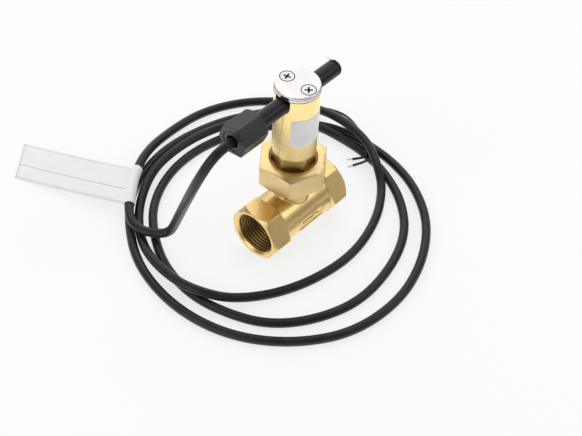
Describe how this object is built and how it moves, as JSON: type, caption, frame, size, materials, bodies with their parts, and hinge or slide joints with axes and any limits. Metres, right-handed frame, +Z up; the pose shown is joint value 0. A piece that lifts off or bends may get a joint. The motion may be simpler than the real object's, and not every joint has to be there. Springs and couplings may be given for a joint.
{
  "type": "paddle flow switch",
  "caption": "Brass pipe tee with a swinging paddle inside, a union nut, a cylindrical switch head and a slide-in reed contact on a coiled cable.",
  "frame": {"origin": "where the head's axis meets the flat the tee's two hexagons rest on", "axes": "+X along the pipe in the flow direction, -Y towards the side with the label and the flow arrow, +Z up the head's axis"},
  "size_m": [0.1783, 0.2352, 0.1079],
  "materials": {
    "brass_cast": "satin, cast and machined brass",
    "brass_plated": "bright pale brass, turned",
    "nickel": "polished nickel-plated cover",
    "screw_steel": "bright zinc-plated steel",
    "label_white": "bare white film",
    "seal_rubber": "black rubber",
    "steel": "stainless steel",
    "magnet": "nickel-plated magnet",
    "inner_plastic": "natural acetal",
    "black_plastic": "satin black moulded plastic",
    "gland_plastic": "satin black moulded plastic",
    "glass": "clear glass",
    "contact_metal": "plated contact blades",
    "wire_sheath": "insulated wire",
    "cable_sheath": "satin black PVC",
    "core_brown": "brown PVC",
    "core_blue": "blue PVC",
    "copper": "bare stranded copper",
    "tag_paper": "bare white laminated paper"
  },
  "bodies": {
    "housing": {"tee_body": "brass_cast", "union_nut": "brass_plated", "head_seal": "seal_rubber", "switch_head": "brass_plated", "head_label": "label_white", "cover_disc": "nickel", "cover_screws": "screw_steel", "return_magnet": "magnet", "pivot_carrier": "inner_plastic", "carrier_ring": "steel", "pivot_pin": "steel", "pivot_spacers": "inner_plastic"},
    "paddle": {"paddle_hub": "inner_plastic", "paddle_stem": "steel", "paddle_vane": "steel", "vane_rivet": "steel", "magnet_holder": "brass_plated", "paddle_magnet": "magnet"},
    "contact": {"contact_rod": "black_plastic", "rod_plug": "black_plastic", "gland_nut": "gland_plastic", "gland_bush": "seal_rubber", "reed_glass": "glass", "reed_leads": "contact_metal", "contact_wires": "wire_sheath", "cable": "cable_sheath", "core_brown": "core_brown", "core_blue": "core_blue", "core_ends": "copper", "tag_sleeve": "tag_paper", "tag_flag": "tag_paper"}
  },
  "joints": [
    {"name": "paddle_swing", "type": "hinge", "parent": "housing", "child": "paddle", "pos_m": [0, 0, 0.059], "axis": [0, -1, 0], "range_deg": [0, 9], "stiffness_Nm_per_rad": 0.01, "springref_deg": -5.73},
    {"name": "contact_slide", "type": "slide", "parent": "housing", "child": "contact", "axis": [1, 0, 0], "range_m": [-0.012, 0.014]}
  ]
}
